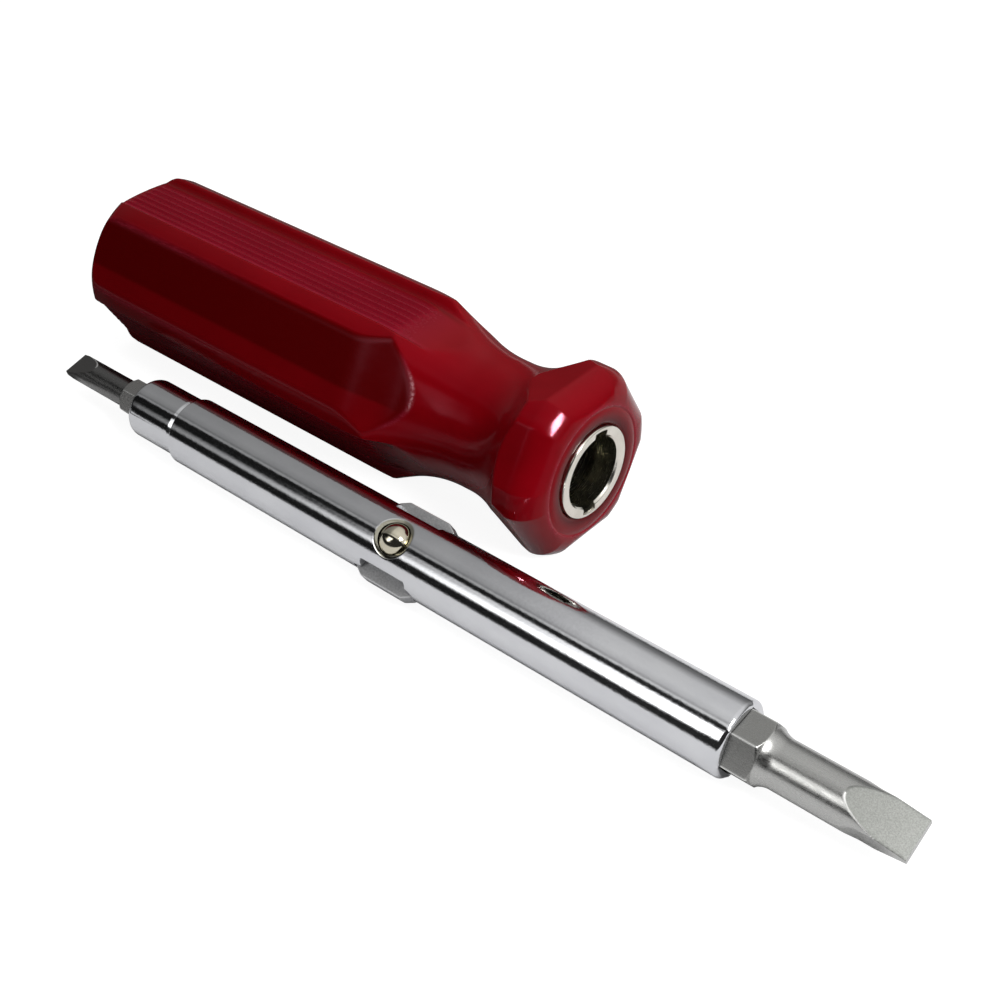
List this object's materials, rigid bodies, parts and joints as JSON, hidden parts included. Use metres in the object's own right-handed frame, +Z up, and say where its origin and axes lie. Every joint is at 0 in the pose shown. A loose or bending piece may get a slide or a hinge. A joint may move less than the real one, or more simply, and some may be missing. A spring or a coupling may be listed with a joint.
{
  "type": "pocket screwdriver",
  "caption": "Pocket screwdriver taken apart: ridged moulded handle with a lined socket, and beside it a tube with ears, a detent ball and a reversible bit in each end.",
  "frame": {"origin": "on the table under the middle of the layout's bounding box", "axes": "+X along the shaft and the handle, out of the handle's socket and toward the large blade; +Y from the shaft to the handle; +Z up"},
  "size_m": [0.1564, 0.0424, 0.0258],
  "materials": {
    "handle_plastic": "glossy moulded deep red",
    "liner_nickel": "nickel plated steel",
    "tube_chrome": "bright chrome plated steel",
    "key_steel": "matte stamped steel",
    "ball_steel": "polished bearing steel",
    "spring_steel": "drawn spring wire",
    "bit_steel": "satin nickel, ground blade faces"
  },
  "bodies": {
    "handle": {"handle_grip": "handle_plastic", "socket_liner": "liner_nickel"},
    "shaft": {"shaft_tube": "tube_chrome", "wing_key": "key_steel", "detent_spring": "spring_steel"},
    "detent": {"detent_ball": "ball_steel"},
    "large_bit_body": {"large_bit": "bit_steel", "large_bit_spring": "spring_steel"},
    "large_keeper": {"large_bit_ball": "ball_steel"},
    "small_bit_body": {"small_bit": "bit_steel", "small_bit_spring": "spring_steel"},
    "small_keeper": {"small_bit_ball": "ball_steel"}
  },
  "joints": [
    {"name": "shaft_withdraw", "type": "slide", "parent": "handle", "child": "shaft", "axis": [1, 0, 0], "range_m": [0, 0.0599]},
    {"name": "detent_press", "type": "slide", "parent": "shaft", "child": "detent", "axis": [0, -0.524, 0.8517], "range_m": [-0.001, 0], "stiffness_N_per_m": 4000, "springref_m": 0.001, "deforming": ["detent_spring"]},
    {"name": "large_bit_pull", "type": "slide", "parent": "shaft", "child": "large_bit_body", "axis": [1, 0, 0], "range_m": [0, 0.03]},
    {"name": "large_keeper_press", "type": "slide", "parent": "large_bit_body", "child": "large_keeper", "axis": [0, 0.1323, -0.9912], "range_m": [-0.0003, 0], "stiffness_N_per_m": 2000, "springref_m": 0.0004, "deforming": ["large_bit_spring"]},
    {"name": "small_bit_pull", "type": "slide", "parent": "shaft", "child": "small_bit_body", "axis": [-1, 0, 0], "range_m": [0, 0.023]},
    {"name": "small_keeper_press", "type": "slide", "parent": "small_bit_body", "child": "small_keeper", "axis": [0, 0.9245, -0.3811], "range_m": [-0.0003, 0], "stiffness_N_per_m": 2000, "springref_m": 0.0004, "deforming": ["small_bit_spring"]}
  ]
}
